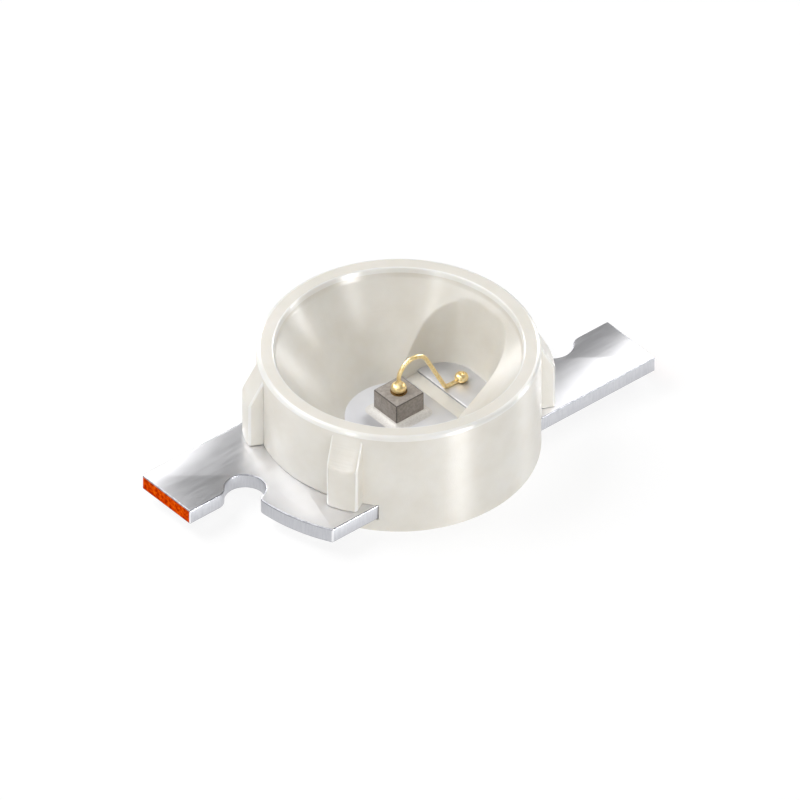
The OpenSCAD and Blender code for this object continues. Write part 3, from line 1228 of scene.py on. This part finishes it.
@dataclass
class Bond:
    """The gold wire from the chip's contact to the bond pad, and the second ball that holds it there."""

    wire_d: float = 0.032
    ball_d: float = 0.112
    ball_h: float = 0.065
    neck_d: float = 0.056
    neck_h: float = 0.03
    loop_rise: float = 0.23
    loop_bend: float = 0.13
    foot_bend: float = 0.04
    landing_inset: float = 0.02
    landing_h: float = 0.011
    bump_d: float = 0.1
    bump_h: float = 0.06
    press: float = 0.006
    dimple_d: float = 0.036
    sides: int = 32
    bump_sides: int = 48
    # Angles between which the first ball's round flank runs
    flank: tuple[float, float] = (-56, 62)
    # The same of the second ball's flank and of its dimple, whose middle is so many radii above the top
    bump_flank: tuple[float, float] = (-50, 90)
    dimple_arc: tuple[float, float] = (-12, -90)
    dimple_rise: float = 0.2
    # Height of the step from the ball to its neck, and the places along the neck that have a point
    neck_step: float = 0.0005
    neck_shares: tuple[float, ...] = (0.35, 0.7, 1)

    def path(self, chip: Vector, bump: Vector, pad_edge: float,
             pad_top: float) -> tuple[list[Vector], list[float]]:
        """Route of the wire's axis with its radius at each point.

        Args:
            chip: Middle of the chip's contact, on its top face.
            bump: Middle of the second ball.
            pad_edge: Where the bond pad begins.
            pad_top: Height of its face.

        Returns:
            The points and their radii.
        """
        run = Vector((bump.x - chip.x, bump.y - chip.y))
        way = run.normalized()
        level = pad_top + self.landing_h
        mid = Vector((self.loop_bend, chip.z + self.loop_rise - self.loop_bend))
        landing = Vector(((pad_edge + self.landing_inset - chip.x) / way.x, level))
        leave = angle_to(landing - mid) + math.degrees(math.acos(self.loop_bend / (landing - mid).length))
        foot = landing.x + self.foot_bend * math.tan(math.radians((90 - leave) / 2))
        wire_r, neck_r, ball_r = self.wire_d / 2, self.neck_d / 2, self.ball_d / 2
        round_r = (self.ball_h + self.press) / 2
        flank = arc((ball_r - round_r, self.ball_h / 2 - self.press / 2), round_r, *self.flank, step=10)
        flat = [(Vector((0, chip.z + p.y)), p.x) for p in flank]
        ball_top = chip.z + self.ball_h
        flat += [(Vector((0, ball_top + self.neck_step)), neck_r)]
        flat += [(Vector((0, ball_top + self.neck_h * share)), neck_r + (wire_r - neck_r) * share)
                 for share in self.neck_shares]
        bends = arc(mid, self.loop_bend, 180, leave, step=5)
        bends += arc((foot, level + self.foot_bend), self.foot_bend, 270 - (90 - leave), 270, step=7)
        bends += [Vector((run.length, level))]
        flat += [(p, wire_r) for p in bends]
        points = [Vector((chip.x + way.x * p.x, chip.y + way.y * p.x, p.y)) for p, _ in flat]
        return points, [girth for _, girth in flat]

    def build(self, gold: bpy.types.Material) -> None:
        """Make the wire and the second ball and tie them to the frame.

        Args:
            gold: Finish of both.
        """
        low, high = node_box("led_chip")
        chip = Vector(((low.x + high.x) / 2, (low.y + high.y) / 2, high.z))
        low, high = node_box("bond_bump")
        bump = Vector(((low.x + high.x) / 2, (low.y + high.y) / 2, low.z))
        pad = node_box("anode_lead")
        points, girths = self.path(chip, bump, pad[0].x, pad[1].z)
        line = path_object("wire_path", points, girth=girths)
        wire = run_trees("gold_bond_wire", [
            (sweep_tree(), {"Path": line, "Sides": self.sides, "Material": gold})], [line])
        shrink(wire, sharp=50)
        settle(wire, Slot.GOLD, "bond_wire")
        thick = self.bump_h + self.press
        bulge = (self.bump_d - thick) / 2
        dimple = self.dimple_d / 2
        section = [Vector((0, 0))]
        section += arc((bulge, thick / 2 - self.press), thick / 2, *self.bump_flank, step=10)
        section += arc((0, self.bump_h + dimple * self.dimple_rise), dimple, *self.dimple_arc, step=13)
        mesh = lathe("bump", section, bump, self.bump_sides)
        mesh.materials.append(gold)
        ball = mesh_object("gold_bond_bump", mesh)
        shrink(ball, sharp=50)
        settle(ball, Slot.GOLD, "bond_bump")


@dataclass
class Casting:
    """The clear resin in the cup, a hair clear of the cup's faces, with its shallow bowl of a surface."""

    cup: Cup
    fill_drop: float = 0.015
    fill_dip: float = 0.02
    inset: float = 0.002
    cone_rows: int = 24
    bowl_rows: int = 20
    edge_softness: float = 0.001

    def build(self, finish: ClearResin) -> None:
        """Make the casting and tie it to the frame.

        Args:
            finish: The resin's finish.
        """
        mouth, lip = self.cup.mouth, self.cup.lip
        edge_z = self.cup.body_h - self.fill_drop
        inward = Vector((self.inset, 0))
        foot = Vector((self.cup.floor_r, self.cup.floor + self.inset)) - inward
        brim = mouth.lerp(lip, self.fill_drop / self.cup.lip_depth) - inward
        inside = [foot, *along(foot, lip - inward, self.cone_rows), lip - inward]
        shares = [1 - k / self.bowl_rows for k in range(self.bowl_rows)]
        bowl = [Vector((brim.x * out, edge_z - self.fill_dip * (1 - out ** 2))) for out in shares]
        flags = [1.0] * len(inside) + [0.0] * len(bowl)
        piece = self.cup.fold(
            "clear_epoxy_casting", inside + bowl, flags, self.inset, self.edge_softness, finish.build())
        shrink(piece)
        settle(piece, Slot.RESIN, "clear_casting")


@dataclass(frozen=True)
class Softbox:
    """A studio light, placed by its turn from the camera and its rise above the floor."""

    name: str
    turn: float
    rise: float
    away: float
    width: float
    height: float
    power: float
    gloss_only: bool = False


@dataclass
class Studio:
    """Camera, floor, lights and surroundings."""

    azimuth: float = -40.08
    elevation: float = 39.47
    view_width: float = 5.607
    aim: tuple[float, float, float] = (0.1275, 0.1383, 0.2281)
    camera_away: float = 40.0
    clip: tuple[float, float] = (1.0, 1000.0)
    floor_size: float = 400.0
    floor_drop: float = 0.001
    floor_light: float = 1.06
    ambient: float = 0.13
    floor_glow: float = 0.75
    softboxes: tuple[Softbox, ...] = (
        Softbox("left_key", -103, 52, 16, 12, 9, 0.0017),
        Softbox("right_key", 130, 42, 14.5, 8, 8, 0.00062),
        Softbox("high_front", 0, 60, 12, 6, 3, 0.0002),
        Softbox("low_front", 22, 15, 12, 6, 5, 0.0003),
        Softbox("low_left", -60, 14, 12, 8, 5, 0.00005),
        Softbox("near_band", 42, 9, 9, 2.0, 2.5, 0.001, True),
        Softbox("far_band", 100, 9, 9, 1.4, 2.5, 0.00045, True),
        Softbox("pocket_band", -34, 25, 11, 0.9, 3, 0.0003, True),
        Softbox("high_left", -100, 74, 12, 4, 4, 0.0002, True),
        Softbox("cup_right", 145, 22, 12, 3, 3, 0.0008, True),
        Softbox("cup_left", -145, 22, 12, 3, 3, 0.0008, True),
        Softbox("strip_back", 158, 36, 12, 3, 3, 0.00006, True),
    )

    def back(self, turn: float, rise: float) -> Vector:
        """Direction towards a place round the object.

        Args:
            turn: Angle round the axis from the camera, to its right, in degrees.
            rise: Angle above the floor.

        Returns:
            A unit vector.
        """
        a, e = math.radians(self.azimuth + turn), math.radians(rise)
        return Vector((math.sin(a) * math.cos(e), -math.cos(a) * math.cos(e), math.sin(e)))

    def aimed(self, thing: bpy.types.Object, way: Vector, away: float) -> None:
        """Place a camera or light and point it at the object.

        Args:
            thing: The camera or light.
            way: Direction towards it from the object, one long.
            away: Its distance.
        """
        thing.location = (Vector(self.aim) + way * away) * MM
        thing.rotation_mode = "QUATERNION"
        thing.rotation_quaternion = (-way).to_track_quat("-Z", "Y")
        bpy.context.scene.collection.objects.link(thing)

    def build_camera(self) -> None:
        """Make the camera at the picture's angle, without perspective."""
        lens = bpy.data.cameras.new("camera")
        lens.type = "ORTHO"
        lens.ortho_scale = self.view_width * MM
        lens.clip_start, lens.clip_end = (end * MM for end in self.clip)
        camera = bpy.data.objects.new("camera", lens)
        self.aimed(camera, self.back(0, self.elevation), self.camera_away)
        bpy.context.scene.camera = camera

    def build_lights(self) -> None:
        """Make the soft lights and the even surroundings."""
        for box in self.softboxes:
            lamp = bpy.data.lights.new(box.name, "AREA")
            lamp.shape = "RECTANGLE"
            lamp.size = box.width * MM
            lamp.size_y = box.height * MM
            lamp.energy = box.power
            light = bpy.data.objects.new(box.name, lamp)
            light.visible_camera = False
            light.visible_diffuse = not box.gloss_only
            self.aimed(light, self.back(box.turn, box.rise), box.away)
        world = bpy.data.worlds.new("surroundings")
        world.use_nodes = True
        world.node_tree.nodes.clear()
        # A view from low down looks past the floor's edge, so the backdrop itself is white
        seen = add(world.node_tree, "ShaderNodeLightPath").outputs["Is Camera Ray"]
        strength = add(world.node_tree, "ShaderNodeMapRange", seen, 0.0, 1.0, self.ambient, 1.0)
        glow = add(world.node_tree, "ShaderNodeBackground", srgb("FFFFFF"), strength)
        add(world.node_tree, "ShaderNodeOutputWorld", glow)
        bpy.context.scene.world = world
        bpy.context.scene.view_settings.view_transform = "Standard"

    def build_floor(self) -> None:
        """Make the plain pale floor."""
        half = self.floor_size / 2
        corners = [(-half, -half), (half, -half), (half, half), (-half, half)]
        mesh = mesh_from("floor", [(x, y, -self.floor_drop) for x, y in corners], faces=[(0, 1, 2, 3)])
        mesh.transform(Matrix.Scale(MM, 4))
        material, tree = blank_material("backlit_white_acrylic")
        board = add(tree, "ShaderNodeBsdfDiffuse", srgb("FAFAFA"))
        glow = add(tree, "ShaderNodeEmission", srgb("FFFFFF"), self.floor_light)
        add(tree, "ShaderNodeOutputMaterial", add(tree, "ShaderNodeMixShader", self.floor_glow, board, glow))
        mesh.materials.append(material)
        mesh_object("floor", mesh)

    def build(self) -> None:
        """Make everything around the object."""
        self.build_camera()
        self.build_lights()
        self.build_floor()


def main() -> None:
    """Build the studio and every piece in order."""
    logging.basicConfig(level=logging.INFO, format="%(message)s")
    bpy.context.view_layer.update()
    Studio().build()
    cup = Cup()
    Housing(cup).build()
    plating = {
        LeadFace.FACE: SilverPlate(),
        LeadFace.EDGE: RolledEdgePaintedShade(),
        LeadFace.CUT: BareCopper(),
        LeadFace.SIDE: SideWithPaintedShade(),
        LeadFace.PAD: SilverPlate("bright_silver_pad", gloss=(0.5, 0.56))}
    finishes = {part: finish.build() for part, finish in plating.items()}
    for pad in Pad:
        Lead(cup, pad).build(finishes)
    gold = DrawnGold().build()
    chip = Chip()
    chip.build()
    chip.build_glue(SilverGlue())
    Bond().build(gold)
    Casting(cup).build(ClearResin())


if __name__ == "__main__":
    main()
